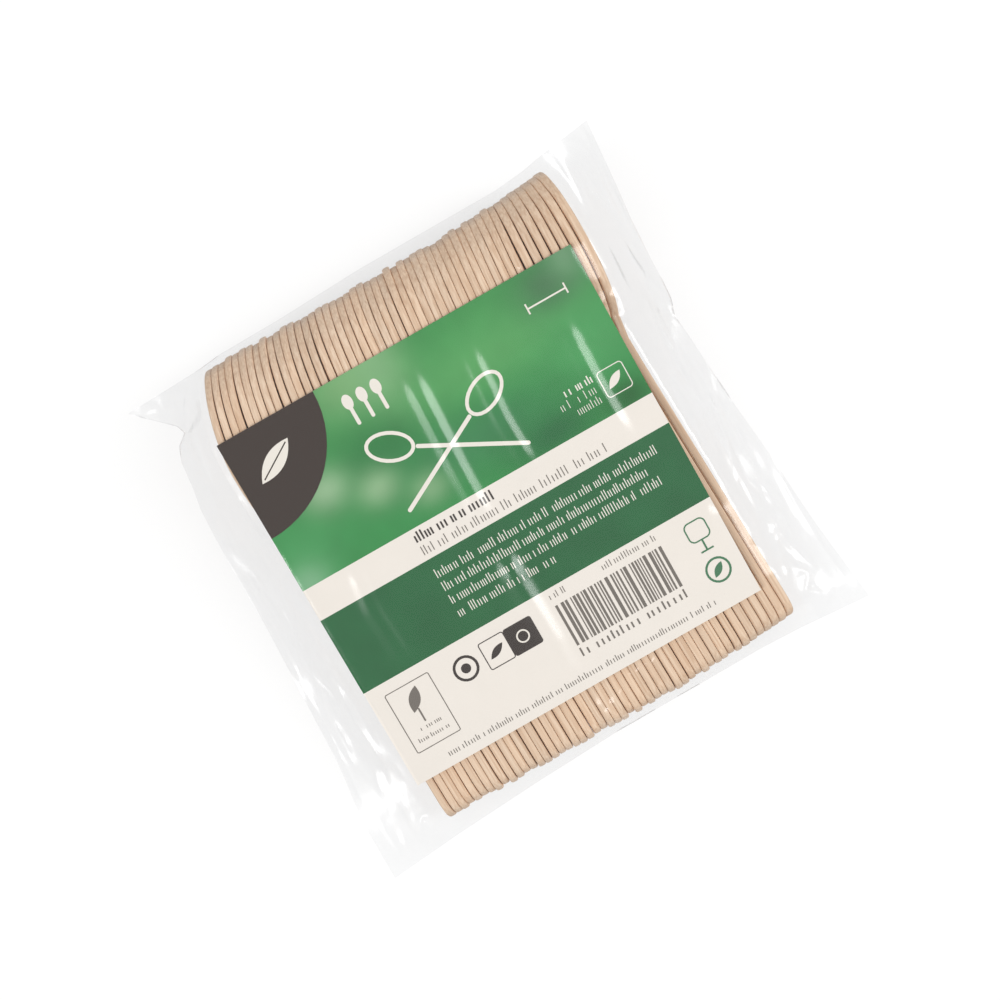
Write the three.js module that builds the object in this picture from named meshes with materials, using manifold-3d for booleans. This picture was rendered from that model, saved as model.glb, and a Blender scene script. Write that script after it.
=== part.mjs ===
// A retail pack of wooden spoons: fifty pressed wooden spoons stand on edge side by side under a
// printed card, and one clear film bag wraps them, with a welded seal at its left and right end.
// Millimetres. X runs across the row of spoons, Y along them towards the bowls, Z up.

import * as THREE from 'three';
import { mergeVertices } from 'three/addons/utils/BufferGeometryUtils.js';
import Module from 'manifold-3d';

const wasm = await Module();
wasm.setup();

// Spoon
const spoonCount = 50;
const spoonLength = 111;
const spoonThickness = 1.45;
const bowlLength = 36;
const bowlWidth = 22;
const neckWidth = 7.5;
const handleEndWidth = 10;

// Row of spoons: free space between neighbours at the handle ends, and the least there is anywhere
const spoonGap = 0.3;
const closestGap = 0.14;
const endScatter = 0.5;

// Most spoons lie close. Wider gaps stand open after the spoons listed, at the tips and at the handles
const closeShare = 0.035;
const openAtTips = [
  { width: 0.45, after: [4, 9, 15] },
  { width: 0.3, after: [1, 2, 10, 12, 13, 14, 16] },
  { width: 0.2, after: [7, 18, 20, 25, 26] },
  { width: 0.1, after: [6, 19, 21, 23, 33, 40, 42] },
];
const openAtHandles = [
  { width: 0.4, after: [8, 13, 15, 18, 21, 33, 35, 42] },
  { width: 0.25, after: [1, 4, 5, 9, 10, 20, 25, 26, 39] },
  { width: 0.15, after: [6, 12, 16, 23, 28, 30, 31, 41] },
];

// The last spoons at the right fan out, and the right end of the row is pushed towards the tips
const fanFrom = 42;
const fanStep = 1.5;
const fanGap = 0.32;
const skewFrom = 34;
const skewReach = 1.9;

// Side bend of the two outermost spoons, plus towards the right; the others lie between them
const leftBend = { neck: -2.2, bowl: -0.9, tip: 4.2, dish: -0.9 };
const rightBend = { neck: -3.1, bowl: 0.6, tip: 1.3, dish: 0.9 };

// Printed card, how far its lower edge lies from the handle ends, seen from above, and its turn
const cardWidth = 85.5;
const cardLength = 85;
const cardThickness = 0.4;
const cardGap = 0.3;
const cardFromHandleEnds = 10.3;
const cardLeftOfMiddle = 3.25;
const cardTurn = 0.3;

// Film bag
const filmWall = 0.25;
const filmGap = 0.45;
const layerGap = 0.08;
const sealBand = 3;
const sealHeight = 5;
const ventDiameter = 4;
const ventFromLeft = 14;
const ventFromHandleEnds = 70;

// Folds of the bag past the spoon ends, over the row and then further at the four corners
const handleFoldLeft = 2.6;
const handleFoldRight = 1;
const tipFoldLeft = 0.4;
const tipFoldRight = 2.3;
const handleFoldHeight = 4;
const tipFoldHeight = 8;
const cornerReach = { handleLeft: 2.7, handleRight: 0.9, tipLeft: 0.3, tipRight: 3.8 };

// Width of each end flap past the row, from the handle-end corner (0) to the tip corner (1). The left
// flap ends in a narrow twisted corner, and the right one is gathered where it is narrowest.
const leftFlap = [
  [0, 13.5], [0.22, 12.2], [0.4, 11.1], [0.78, 10.9], [0.87, 9.7],
  [0.9, 9.2], [0.915, 7.4], [0.935, 9.3], [0.96, 14], [1, 19.5],
];
const rightFlap = [
  [0, 15.9], [0.15, 13.9], [0.35, 11.7], [0.57, 9.5], [0.61, 8.8],
  [0.65, 10.2], [0.8, 11.1], [0.91, 13], [1, 16],
];
const flapWave = 1.1;
const flapWaveCount = 3.5;
const flapHollow = 1.15;
const gather = { along: 0.61, spread: 0.035, height: 2.6 };

// Facets of the film: columns in each flap, columns over the row, rows from handle ends to tips
const flapColumns = 4;
const rowColumns = 14;
const filmRows = 24;

// Finish of the three materials
const filmColor = 0xe9edef;
const filmOpacity = 0.3;
const cardColor = 0x55a062;
const woodColor = new THREE.Color(0xdfbf9b);
const woodVariation = 0.08;

const lerp = THREE.MathUtils.lerp;
const degrees = THREE.MathUtils.degToRad;

// A steady scatter between 0 and 1 for spoon number index, so that every build is the same
function scatter(index, salt) {
  const value = Math.sin(index * 12.9898 + salt * 78.233) * 43758.5453;
  return value - Math.floor(value);
}

// A box with the given facets, each corner k moved to where place(column, row, layer, k) puts it
function shapedBox(columns, rows, layers, place) {
  const box = new THREE.BoxGeometry(1, 1, 1, columns, rows, layers);
  box.deleteAttribute('normal');
  box.deleteAttribute('uv');
  const shaped = mergeVertices(box);
  const corners = shaped.getAttribute('position');
  for (let k = 0; k < corners.count; k += 1) {
    const column = Math.round((corners.getX(k) + 0.5) * columns);
    const row = Math.round((corners.getY(k) + 0.5) * rows);
    const layer = Math.round((corners.getZ(k) + 0.5) * layers);
    const point = place(column, row, layer, k);
    corners.setXYZ(k, point.x, point.y, point.z);
  }
  return shaped;
}

// Spoon outline: half the width at a distance along the spoon from its handle end
const endRadius = handleEndWidth / 2;
const bowlMiddle = spoonLength - bowlLength / 2;
const neckPlace = spoonLength - bowlLength - 3;

function halfWidth(along) {
  const onHandle = THREE.MathUtils.clamp((along - endRadius) / (neckPlace - endRadius), 0, 1);
  const handle = lerp(endRadius, neckWidth / 2, onHandle);
  const roundEnd = Math.sqrt(Math.max(0, 1 - Math.max(0, 1 - along / endRadius) ** 2));
  const fromMiddle = (along - bowlMiddle) / (bowlLength / 2);
  const oval = (bowlWidth / 2) * Math.sqrt(Math.max(0, 1 - fromMiddle ** 2));
  return along > bowlMiddle ? oval : Math.max(handle * roundEnd, oval);
}

// Places along a spoon where its faces bend. Those at its ends move with the spoon when it lies
// further along than its neighbours, and those between are the same for every spoon of the row.
function spoonStations() {
  const stations = [];
  for (const turn of [18, 52, 90]) {
    stations.push({ along: endRadius * (1 - Math.cos(degrees(turn))), moves: true });
  }
  stations.push({ along: neckPlace, moves: false });
  for (const turn of [28, 50, 72, 92, 114, 134, 154, 170]) {
    const along = bowlMiddle - (bowlLength / 2) * Math.cos(degrees(turn));
    stations.push({ along, moves: turn > 140 });
  }
  return stations;
}

const stations = spoonStations();
const outline = stations.map(({ along }) => ({ along, half: halfWidth(along) }));

// Each spoon stands on its bowl and its handle end, so its axis rises towards the bowl
const tilt = Math.asin((bowlWidth / 2 - endRadius) / (bowlMiddle - endRadius));
const undersides = outline.map(({ along, half }) => along * Math.sin(tilt) - half * Math.cos(tilt));
const axisHeight = -Math.min(...undersides);

// Sideways line of an outermost spoon: straight handle, then the bend of its bowl up to the tip
function bendLine(bend, along) {
  const onHandle = Math.min(1, Math.max(0, along / neckPlace));
  const onBowl = Math.max(0, (along - neckPlace) / (spoonLength - neckPlace));
  const hollow = bend.bowl * Math.sin(Math.PI * Math.min(1, onBowl)) ** 2;
  return bend.neck * onHandle + hollow + bend.tip * onBowl ** 3;
}

// How far the middle of the bowl stands out from its rim
function dishDepth(bend, along) {
  const onBowl = THREE.MathUtils.clamp((along - neckPlace) / (spoonLength - neckPlace), 0, 1);
  return bend.dish * Math.sin(Math.PI * onBowl ** 0.8);
}

// The free space before each spoon of the row, summed up from the left, as shares
function looseness(openings) {
  const sums = [0];
  for (let index = 1; index < spoonCount; index += 1) {
    const opening = openings.find(({ after }) => after.includes(index));
    const share = index > fanFrom ? fanGap : (opening?.width ?? 0) + closeShare;
    sums.push(sums[index - 1] + share);
  }
  return sums;
}

const handleLooseness = looseness(openAtHandles);
const tipLooseness = looseness(openAtTips);
const rowWidth = (spoonCount - 1) * (spoonThickness + spoonGap);

function spoonMiddle(index, along) {
  const share = THREE.MathUtils.clamp(along / spoonLength, 0, 1);
  const before = lerp(handleLooseness[index], tipLooseness[index], share);
  const whole = lerp(handleLooseness.at(-1), tipLooseness.at(-1), share);
  const left = -rowWidth / 2 + bendLine(leftBend, along);
  const right = rowWidth / 2 + bendLine(rightBend, along);
  const closest = spoonThickness + closestGap;
  const free = right - left - (spoonCount - 1) * closest;
  return left + index * closest + (free * before) / whole;
}

// How far a spoon leans out to the right, for each millimetre above its axis
const fanLean = (index) => Math.tan(degrees(fanStep * Math.max(0, index - fanFrom)));

// How far the spoons at a place across the row are pushed towards the tips
const skewAt = (place) => skewReach * Math.max(0, (place - skewFrom) / (spoonCount - 1 - skewFrom));

// The bowls of the left half of the row have their backs to the left, the others to the right
function spoonGeometry(index, slide) {
  const bend = index < spoonCount / 2 ? leftBend : rightBend;
  const origin = spoonMiddle(index, 0);
  return shapedBox(1, stations.length - 1, 2, (side, station, across) => {
    const along = stations[station].along - (stations[station].moves ? 0 : slide);
    const inRow = along + slide;
    const half = halfWidth(along);
    const edge = (across - 1) * half;
    const dished = dishDepth(bend, inRow) * (1 - (edge / (bowlWidth / 2)) ** 2);
    const middle = spoonMiddle(index, inRow) - origin + dished + edge * fanLean(index);
    return new THREE.Vector3(middle + (side - 0.5) * spoonThickness, along, edge);
  });
}

function spoonMesh(index) {
  const shade = 1 - woodVariation * scatter(index, 9);
  const color = woodColor.clone().multiplyScalar(shade);
  const wood = new THREE.MeshStandardMaterial({ color, roughness: 0.75, metalness: 0 });
  const slide = endScatter * (2 * scatter(index, 3) - 1) + skewAt(index);
  const spoon = new THREE.Mesh(spoonGeometry(index, slide), wood);
  spoon.name = `spoon_${String(index + 1).padStart(2, '0')}`;
  const up = axisHeight + slide * Math.sin(tilt);
  spoon.position.set(spoonMiddle(index, 0), slide * Math.cos(tilt), up);
  spoon.rotation.x = tilt;
  return spoon;
}

// The card lies on the rims, so it slopes down from the bowls to the handle ends
const cardSlope = 2 * tilt;

// Points round the spoons at a place across the row, seen along the row
function spoonProfile(place) {
  const profile = [];
  for (const { along, half } of outline) {
    for (const edge of [-half, half]) {
      for (const slide of [skewAt(place) - endScatter, skewAt(place) + endScatter]) {
        const y = (along + slide) * Math.cos(tilt) - edge * Math.sin(tilt);
        const z = axisHeight + (along + slide) * Math.sin(tilt) + edge * Math.cos(tilt);
        profile.push({ y, z });
      }
    }
  }
  return profile;
}

const heights = spoonProfile(0).map(({ y, z }) => z * Math.cos(cardSlope) - y * Math.sin(cardSlope));
const cardAbove = Math.max(...heights) + cardGap + cardThickness / 2;
const cardEdge = (cardFromHandleEnds + cardAbove * Math.sin(cardSlope)) / Math.cos(cardSlope);

// A point of the card's middle plane or faces, from its place along the card and above its middle
function cardPoint(along, above) {
  const reach = cardEdge + cardLength / 2 + along;
  const lift = cardAbove + above;
  const y = reach * Math.cos(cardSlope) - lift * Math.sin(cardSlope);
  const z = reach * Math.sin(cardSlope) + lift * Math.cos(cardSlope);
  return { y, z };
}

function cardMesh() {
  const print = new THREE.MeshStandardMaterial({ color: cardColor, roughness: 0.45, metalness: 0 });
  const card = new THREE.Mesh(new THREE.BoxGeometry(cardWidth, cardLength, cardThickness), print);
  card.name = 'label_card';
  const { y, z } = cardPoint(0, 0);
  card.position.set(-cardLeftOfMiddle, y, z);
  card.rotation.set(cardSlope, 0, degrees(cardTurn));
  return card;
}

// Convex outline round a set of points: its lower and its upper side, from low Y to high Y
function wrapAround(points) {
  const sorted = [...points].sort((a, b) => a.y - b.y || a.z - b.z);
  const side = (turn) => {
    const chain = [];
    for (const point of sorted) {
      while (chain.length > 1) {
        const [a, b] = chain.slice(-2);
        const bend = (b.y - a.y) * (point.z - a.z) - (b.z - a.z) * (point.y - a.y);
        if (bend * turn > 0) break;
        chain.pop();
      }
      chain.push(point);
    }
    return chain;
  };
  return { lower: side(1), upper: side(-1) };
}

function heightOn(chain, y) {
  for (let k = 1; k < chain.length; k += 1) {
    const from = chain[k - 1];
    const to = chain[k];
    if (y <= to.y && to.y > from.y) return lerp(from.z, to.z, (y - from.y) / (to.y - from.y));
  }
  return chain.at(-1).z;
}

// What the film wraps at a place across the row: the spoons and the card, with the film's gap all round
function contents(place) {
  const held = spoonProfile(place);
  for (const along of [-cardLength / 2, cardLength / 2]) {
    held.push(cardPoint(along, cardThickness / 2));
  }
  const grown = [];
  for (const { y, z } of held) {
    for (let turn = 0; turn < 360; turn += 30) {
      const angle = degrees(turn);
      grown.push({ y: y + filmGap * Math.cos(angle), z: z + filmGap * Math.sin(angle) });
    }
  }
  return grown;
}

const levelRow = contents(0);
const handleReach = Math.min(...levelRow.map(({ y }) => y));
const tipReach = Math.max(...levelRow.map(({ y }) => y));
const floorHeight = Math.min(...levelRow.map(({ z }) => z));

// How far the outermost spoon reaches to the left (-1) or to the right (1) between two places
function rowReach(side, from, to) {
  const index = side < 0 ? 0 : spoonCount - 1;
  const bend = side < 0 ? leftBend : rightBend;
  const steps = 40;
  const reaches = [];
  for (let step = 0; step <= steps; step += 1) {
    const along = lerp(from, to, step / steps);
    const standsOut = Math.max(side * dishDepth(bend, along), side * halfWidth(along) * fanLean(index));
    reaches.push(side * spoonMiddle(index, along) + standsOut + spoonThickness / 2);
  }
  return Math.max(...reaches) + filmGap;
}

const cardReach = (side) => cardWidth / 2 - side * cardLeftOfMiddle + filmGap;
const reach = {
  left: -Math.max(rowReach(-1, 0, spoonLength), cardReach(-1)),
  right: Math.max(rowReach(1, 0, spoonLength), cardReach(1)),
  leftTip: -rowReach(-1, spoonLength - endScatter, spoonLength),
  rightTip: rowReach(1, spoonLength - endScatter, spoonLength),
};

// The end of the row draws in where the outermost spoons bend inwards past the card
const tipBendFrom = (cardFromHandleEnds + cardLength) / spoonLength;

function rowEnd(side, share) {
  const past = THREE.MathUtils.smoothstep(share, tipBendFrom, 1);
  return side < 0 ? lerp(reach.left, reach.leftTip, past) : lerp(reach.right, reach.rightTip, past);
}

// Section of the film at one place across the row
function filmSection(share) {
  const low = handleReach - lerp(handleFoldLeft, handleFoldRight, share);
  const high = tipReach + lerp(tipFoldLeft, tipFoldRight, share);
  const folds = [{ y: low, z: handleFoldHeight }, { y: high, z: tipFoldHeight }];
  return { low, high, ...wrapAround([...contents(share * (spoonCount - 1)), ...folds]) };
}

// Columns of the film from the left seal to the right one: out is how far along its flap a column
// lies, 0 at the row and 1 at the seal, and share is its place across the row
function filmColumns() {
  const flap = (side) => {
    const columns = [];
    for (let k = 0; k < flapColumns; k += 1) {
      columns.push({ side, out: 1 - k / flapColumns, share: side < 0 ? 0 : 1 });
    }
    return columns;
  };
  const middle = [];
  for (let k = 0; k <= rowColumns; k += 1) {
    middle.push({ side: 0, out: 0, share: k / rowColumns });
  }
  const columns = [...flap(-1), ...middle, ...flap(1).reverse()];
  return columns.map((column) => ({ ...column, section: filmSection(column.share) }));
}

const columns = filmColumns();

function valueAlong(list, place) {
  for (let k = 1; k < list.length; k += 1) {
    const [from, low] = list[k - 1];
    const [to, high] = list[k];
    if (place <= to) return lerp(low, high, (place - from) / (to - from));
  }
  return list.at(-1)[1];
}

// Height of the welded seal: gentle waves, and a gather in the right flap
function sealLine(side, share) {
  const wave = flapWave * Math.sin(2 * Math.PI * flapWaveCount * share + side);
  const gathered = side > 0 ? Math.exp(-(((share - gather.along) / gather.spread) ** 2)) : 0;
  return sealHeight + wave + gather.height * gathered;
}

function sealPlace(side, share, band) {
  const width = valueAlong(side < 0 ? leftFlap : rightFlap, share) - sealBand + band;
  return rowEnd(side, share) + side * width;
}

// Y of a point of the film, which spreads past the row towards its four corners
function filmY({ side, out, section }, share) {
  const low = side < 0 ? cornerReach.handleLeft : cornerReach.handleRight;
  const high = side < 0 ? cornerReach.tipLeft : cornerReach.tipRight;
  return lerp(section.low - low * out, section.high + high * out, share);
}

// The underside is flat: what lies this close to the lowest line of the film is level with it
const flatWithin = 0.1;

// A point on the inner face of the film; sheet is 1 for the upper layer and -1 for the lower one
function innerPoint(column, share, sheet) {
  const { side, out, section } = column;
  const y = filmY(column, share);
  const yRow = lerp(section.low, section.high, share);
  const upper = heightOn(section.upper, yRow);
  const lower = heightOn(section.lower, yRow);
  const held = sheet > 0 ? upper : lower;
  const resting = sheet < 0 && lower < floorHeight + flatWithin ? floorHeight : held;
  const full = sheet * Math.max(sheet * resting, (sheet * (upper + lower) + layerGap) / 2);
  if (side === 0) {
    return new THREE.Vector3(lerp(rowEnd(-1, share), rowEnd(1, share), column.share), y, full);
  }
  const x = lerp(rowEnd(side, share), sealPlace(side, share, 0), out);
  const swell = (1 - out) ** flapHollow;
  return new THREE.Vector3(x, y, lerp(sealLine(side, share) + sheet * layerGap / 2, full, swell));
}

// Rows of the film lie closer together at its folds, and one row lies right over each edge of the card
const cardEdges = [-1, 1].map((end) => cardPoint((end * cardLength) / 2, cardThickness / 2).y);
const edgeShares = ({ low, high }) => cardEdges.map((y) => (y - low) / (high - low));
const nearestRow = (share) => Math.round((filmRows * Math.acos(1 - 2 * share)) / Math.PI);
const edgeRows = edgeShares(columns[flapColumns].section).map(nearestRow);

function rowShare({ section }, row) {
  const edge = edgeRows.indexOf(row);
  return edge < 0 ? (1 - Math.cos((Math.PI * row) / filmRows)) / 2 : edgeShares(section)[edge];
}

function cavityGeometry() {
  return shapedBox(columns.length - 1, filmRows, 1, (column, row, layer) => {
    const share = rowShare(columns[column], row);
    return innerPoint(columns[column], share, 2 * layer - 1);
  });
}

// The outer face: every corner of the cavity moved out by the wall, square to the faces there
function coverGeometry() {
  const cavity = cavityGeometry();
  cavity.computeVertexNormals();
  const corners = cavity.getAttribute('position');
  const normals = cavity.getAttribute('normal');
  const foldSide = { 0: -1, [filmRows]: 1 };
  return shapedBox(columns.length - 1, filmRows, 1, (column, row, layer, k) => {
    const outwards = new THREE.Vector3().fromBufferAttribute(normals, k);
    outwards.y = foldSide[row] ?? outwards.y;
    outwards.z = 2 * layer - 1;
    return new THREE.Vector3().fromBufferAttribute(corners, k).addScaledVector(outwards, filmWall);
  });
}

// The welded band along an end of the bag, two layers of film thick, from just inside the cavity
function sealGeometry(side) {
  const column = side < 0 ? columns[0] : columns.at(-1);
  const half = layerGap / 2 + filmWall;
  return shapedBox(1, filmRows, 1, (place, row, layer) => {
    const share = rowShare(column, row);
    const across = side < 0 ? 1 - place : place;
    const y = filmY(column, share) + filmWall * (2 * share - 1);
    const x = sealPlace(side, share, across === 1 ? sealBand : -filmWall);
    return new THREE.Vector3(x, y, sealLine(side, share) + (2 * layer - 1) * half);
  });
}

function toSolid(geometry) {
  const corners = Float32Array.from(geometry.getAttribute('position').array);
  const triangles = Uint32Array.from(geometry.getIndex().array);
  return new wasm.Manifold(new wasm.Mesh({ numProp: 3, vertProperties: corners, triVerts: triangles }));
}

function toGeometry(solid) {
  const mesh = solid.getMesh();
  const geometry = new THREE.BufferGeometry();
  geometry.setAttribute('position', new THREE.BufferAttribute(mesh.vertProperties, 3));
  geometry.setIndex(new THREE.BufferAttribute(mesh.triVerts, 1));
  return geometry;
}

// The vent is a small round hole in the underside, through which the air leaves the bag
function ventGeometry() {
  const sides = 16;
  const height = 2;
  const vent = new THREE.CylinderGeometry(ventDiameter / 2, ventDiameter / 2, height, sides);
  vent.deleteAttribute('normal');
  vent.deleteAttribute('uv');
  vent.rotateX(Math.PI / 2);
  vent.translate(reach.left + ventFromLeft, ventFromHandleEnds, floorHeight);
  return mergeVertices(vent);
}

function bagMesh() {
  const cover = toSolid(coverGeometry());
  const welded = cover.add(toSolid(sealGeometry(-1))).add(toSolid(sealGeometry(1)));
  const shell = welded.subtract(toSolid(cavityGeometry())).subtract(toSolid(ventGeometry()));
  const film = new THREE.MeshStandardMaterial({
    color: filmColor,
    roughness: 0.18,
    metalness: 0,
    transparent: true,
    opacity: filmOpacity,
  });
  const bag = new THREE.Mesh(toGeometry(shell), film);
  bag.name = 'film_bag';
  return bag;
}

// The pack lies flat, with its origin under the middle of its box
const pack = new THREE.Group();
pack.add(bagMesh(), cardMesh());
for (let index = 0; index < spoonCount; index += 1) {
  pack.add(spoonMesh(index));
}
const box = new THREE.Box3().setFromObject(pack, true);
const middle = box.getCenter(new THREE.Vector3());
pack.position.set(-middle.x, -middle.y, -box.min.z);

export default pack;
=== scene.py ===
import math

import bpy
import numpy as np
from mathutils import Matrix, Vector


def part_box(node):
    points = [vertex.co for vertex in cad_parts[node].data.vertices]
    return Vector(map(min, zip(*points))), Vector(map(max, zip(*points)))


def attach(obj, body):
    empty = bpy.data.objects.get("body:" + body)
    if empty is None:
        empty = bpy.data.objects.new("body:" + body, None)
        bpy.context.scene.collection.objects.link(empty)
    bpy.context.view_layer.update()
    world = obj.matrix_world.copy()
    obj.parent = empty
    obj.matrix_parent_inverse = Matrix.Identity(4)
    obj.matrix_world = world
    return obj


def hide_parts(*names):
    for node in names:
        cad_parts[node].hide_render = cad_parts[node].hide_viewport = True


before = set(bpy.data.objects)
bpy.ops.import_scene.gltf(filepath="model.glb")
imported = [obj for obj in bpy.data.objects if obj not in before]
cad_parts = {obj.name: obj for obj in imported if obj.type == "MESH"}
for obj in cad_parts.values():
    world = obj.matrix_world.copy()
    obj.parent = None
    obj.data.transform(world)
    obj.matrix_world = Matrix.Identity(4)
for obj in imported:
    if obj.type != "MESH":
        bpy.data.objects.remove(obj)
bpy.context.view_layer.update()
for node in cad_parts.values():
    node.select_set(False)

# Camera: it looks straight down on the pack, which lies turned in the picture. The focal length is
# that of a picture 1000 pixels wide and high.
picture_size = 1000
sensor_width = 36.0
focal_pixels = 1792.0
camera_height = 0.400
camera_place = (0.0006, -0.0006)
pack_turn = math.radians(29.4)

camera_data = bpy.data.cameras.new("camera")
camera_data.sensor_width = sensor_width
camera_data.lens = sensor_width * focal_pixels / picture_size
camera_data.clip_start = 0.01
camera_data.clip_end = 10.0
camera = bpy.data.objects.new("camera", camera_data)
camera.location = (*camera_place, camera_height)
camera.rotation_euler = (0, 0, -pack_turn)
bpy.context.collection.objects.link(camera)
scene = bpy.context.scene
scene.camera = camera
scene.view_settings.view_transform = "Standard"


# Spoons: fifty flat coffee spoons, punched and pressed from birch veneer. They stand on edge side by
# side and lie unevenly close. At the left end of the row their tips bend to the right, and the last few
# fan out at the right end.
spoon_count = 50
spoon_length = 0.111
spoon_thickness = 0.00145
wood_swell = 0.00010
bowl_length = 0.036
bowl_width = 0.022
neck_width = 0.0075
handle_end_width = 0.010
rim_round = 0.00034
spoon_gap = 0.0003
closest_gap = 0.00014

# Below its rim a spoon is thicker by these shares, so that neighbours touch there
belly = 0.12
end_belly = 0.12
belly_start, belly_fade = 0.0003, 0.0009
# Depths below the rim over which the flats between the spoons fade into their painted warm bounce light
bounce_start, bounce_fade = 0.0004, 0.0016
end_scatter = 0.00038

# Most spoons lie close. Wider gaps stand open after the spoons listed, at the tips and at the handles
close_share = 0.000035
open_at_tips = ((0.00045, (4, 9, 15)), (0.0003, (1, 2, 10, 12, 13, 14, 16)), (0.0002, (7, 18, 20, 26)),
                (0.0001, (6, 19, 21, 23, 25, 33, 40, 42)))
open_at_handles = ((0.0004, (8, 13, 15, 18, 21, 33, 35, 42)), (0.00025, (1, 4, 5, 9, 10, 20, 26, 39)),
                   (0.00015, (6, 12, 16, 23, 28, 30, 31, 41)))
lean_kept = 0.72
fan_from = 42
fan_step = math.radians(1.5)
fan_gap = 0.00032
skew_from = 34
skew_reach = 0.0019
turned_from, turned_to = 20, 29
left_bend = {"neck": -0.0022, "bowl": -0.0009, "tip": 0.0042, "dish": -0.0009}
right_bend = {"neck": -0.0031, "bowl": 0.0006, "tip": 0.0013, "dish": 0.0009}

end_radius = handle_end_width / 2
bowl_middle = spoon_length - bowl_length / 2
neck_place = spoon_length - bowl_length - 0.003
spoon_tilt = math.asin((bowl_width / 2 - end_radius) / (bowl_middle - end_radius))


def scatter(index, salt):
    """A steady scatter between 0 and 1 for spoon number index."""
    value = math.sin(index * 12.9898 + salt * 78.233) * 43758.5453
    return value - math.floor(value)


def oval_half(along):
    """Half the width of the bowl's oval at a distance from the handle end."""
    from_middle = (along - bowl_middle) / (bowl_length / 2)
    return bowl_width / 2 * np.sqrt(np.maximum(0, 1 - from_middle ** 2))


def half_width(along):
    """Half the width of a spoon, with a soft turn from the handle into the bowl."""
    on_handle = np.clip((along - end_radius) / (neck_place - end_radius), 0, 1)
    handle = end_radius + (neck_width / 2 - end_radius) * on_handle
    round_end = np.sqrt(np.maximum(0, 1 - np.maximum(0, 1 - along / end_radius) ** 2))
    softness = 7
    joined = ((handle * round_end) ** softness + oval_half(along) ** softness) ** (1 / softness)
    return np.where(along > bowl_middle, oval_half(along), joined)


def spoon_rows():
    """Rows across a spoon: its place and half width at the edge, and how far the row bulges out."""
    end_half = 0.6 * end_radius
    tip_half = 0.45 * bowl_width / 2
    end_turns = np.linspace(math.asin(end_half / end_radius), math.pi / 2, 7)
    on_end = end_radius * (1 - np.cos(end_turns))
    on_handle = np.linspace(end_radius, bowl_middle - 0.47 * bowl_length, 14)[1:]
    tip_turn = math.asin(tip_half / (bowl_width / 2))
    bowl_turns = np.linspace(math.radians(24), math.pi - tip_turn, 27)
    on_bowl = bowl_middle - bowl_length / 2 * np.cos(bowl_turns)
    places = np.concatenate([on_end, on_handle, on_bowl])
    to_end = np.clip((end_radius - places) / (end_radius - on_end[0]), 0, 1) ** 2
    to_tip = np.clip((places - bowl_middle) / (on_bowl[-1] - bowl_middle), 0, 1) ** 2
    return places, half_width(places), to_end, to_tip


def spoon_blank():
    """One flat spoon: X through its thickness, Y along it from the handle end, Z across it."""
    places, halves, to_end, to_tip = spoon_rows()
    across = 8
    bpy.ops.object.select_all(action="DESELECT")
    bpy.ops.mesh.primitive_grid_add(x_subdivisions=across, y_subdivisions=len(places) - 1, size=1)
    blank = bpy.context.object
    corners = np.empty(len(blank.data.vertices) * 3)
    blank.data.vertices.foreach_get("co", corners)
    corners = corners.reshape(-1, 3)
    row = np.rint((corners[:, 1] + 0.5) * (len(places) - 1)).astype(int)
    edge = 2 * corners[:, 0] * halves[row]
    end_bulge = np.sqrt(end_radius ** 2 - (edge * to_end[row]) ** 2)
    end_bulge -= math.sqrt(end_radius ** 2 - (halves[0]) ** 2)
    tip_share = np.clip(edge * to_tip[row] / (bowl_width / 2), -1, 1)
    tip_edge = halves[-1] / (bowl_width / 2)
    tip_bulge = np.sqrt(1 - tip_share ** 2) - math.sqrt(1 - tip_edge ** 2)
    along = places[row] - end_bulge * to_end[row] + tip_bulge * bowl_length / 2 * to_tip[row]
    shaped = np.stack([np.zeros(len(along)), along, edge], axis=1)
    blank.data.vertices.foreach_set("co", shaped.ravel())
    wall = blank.modifiers.new("thickness", "SOLIDIFY")
    wall.thickness = spoon_thickness + wood_swell
    wall.offset = 0
    rim = blank.modifiers.new("rim", "BEVEL")
    rim.width = rim_round
    rim.segments = 2
    rim.limit_method = "ANGLE"
    rim.angle_limit = math.radians(50)
    rim.use_clamp_overlap = False
    for modifier in (wall.name, rim.name):
        bpy.ops.object.modifier_apply(modifier=modifier)
    bpy.ops.object.mode_set(mode="EDIT")
    bpy.ops.mesh.select_all(action="SELECT")
    bpy.ops.mesh.normals_make_consistent(inside=False)
    bpy.ops.object.mode_set(mode="OBJECT")
    bpy.ops.object.shade_smooth()
    return blank


def bend_line(bend, along):
    on_handle = np.clip(along / neck_place, 0, 1)
    on_bowl = np.maximum(0, (along - neck_place) / (spoon_length - neck_place))
    hollow = bend["bowl"] * np.sin(np.pi * np.minimum(1, on_bowl)) ** 2
    return bend["neck"] * on_handle + hollow + bend["tip"] * on_bowl ** 3


def dish_depth(bend, along):
    on_bowl = np.clip((along - neck_place) / (spoon_length - neck_place), 0, 1)
    return bend["dish"] * np.sin(np.pi * on_bowl ** 0.8)


def opening_after(index, openings):
    """The wider gap that stands open after spoon number index, counted from 1, or none."""
    return sum(width for width, after in openings if index in after)


def looseness(openings):
    """The free space before each spoon of the row, summed up from the left, as shares."""
    shares = [0]
    for index in range(1, spoon_count):
        shares.append(fan_gap if index > fan_from else close_share + opening_after(index, openings))
    return np.cumsum(shares)


def leaning(openings, height):
    """How far each spoon leans for each metre of height, so that the wider gaps close at their foot."""
    leans = [0]
    for index in range(1, spoon_count):
        opened = 0 if index > fan_from else opening_after(index, openings)
        leans.append(lean_kept * leans[-1] + opened / height)
    return np.array(leans) - np.mean(leans[:fan_from])


handle_looseness = looseness(open_at_handles)
tip_looseness = looseness(open_at_tips)
handle_lean = leaning(open_at_handles, handle_end_width)
tip_lean = leaning(open_at_tips, bowl_width)
row_width = (spoon_count - 1) * (spoon_thickness + spoon_gap)


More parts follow.
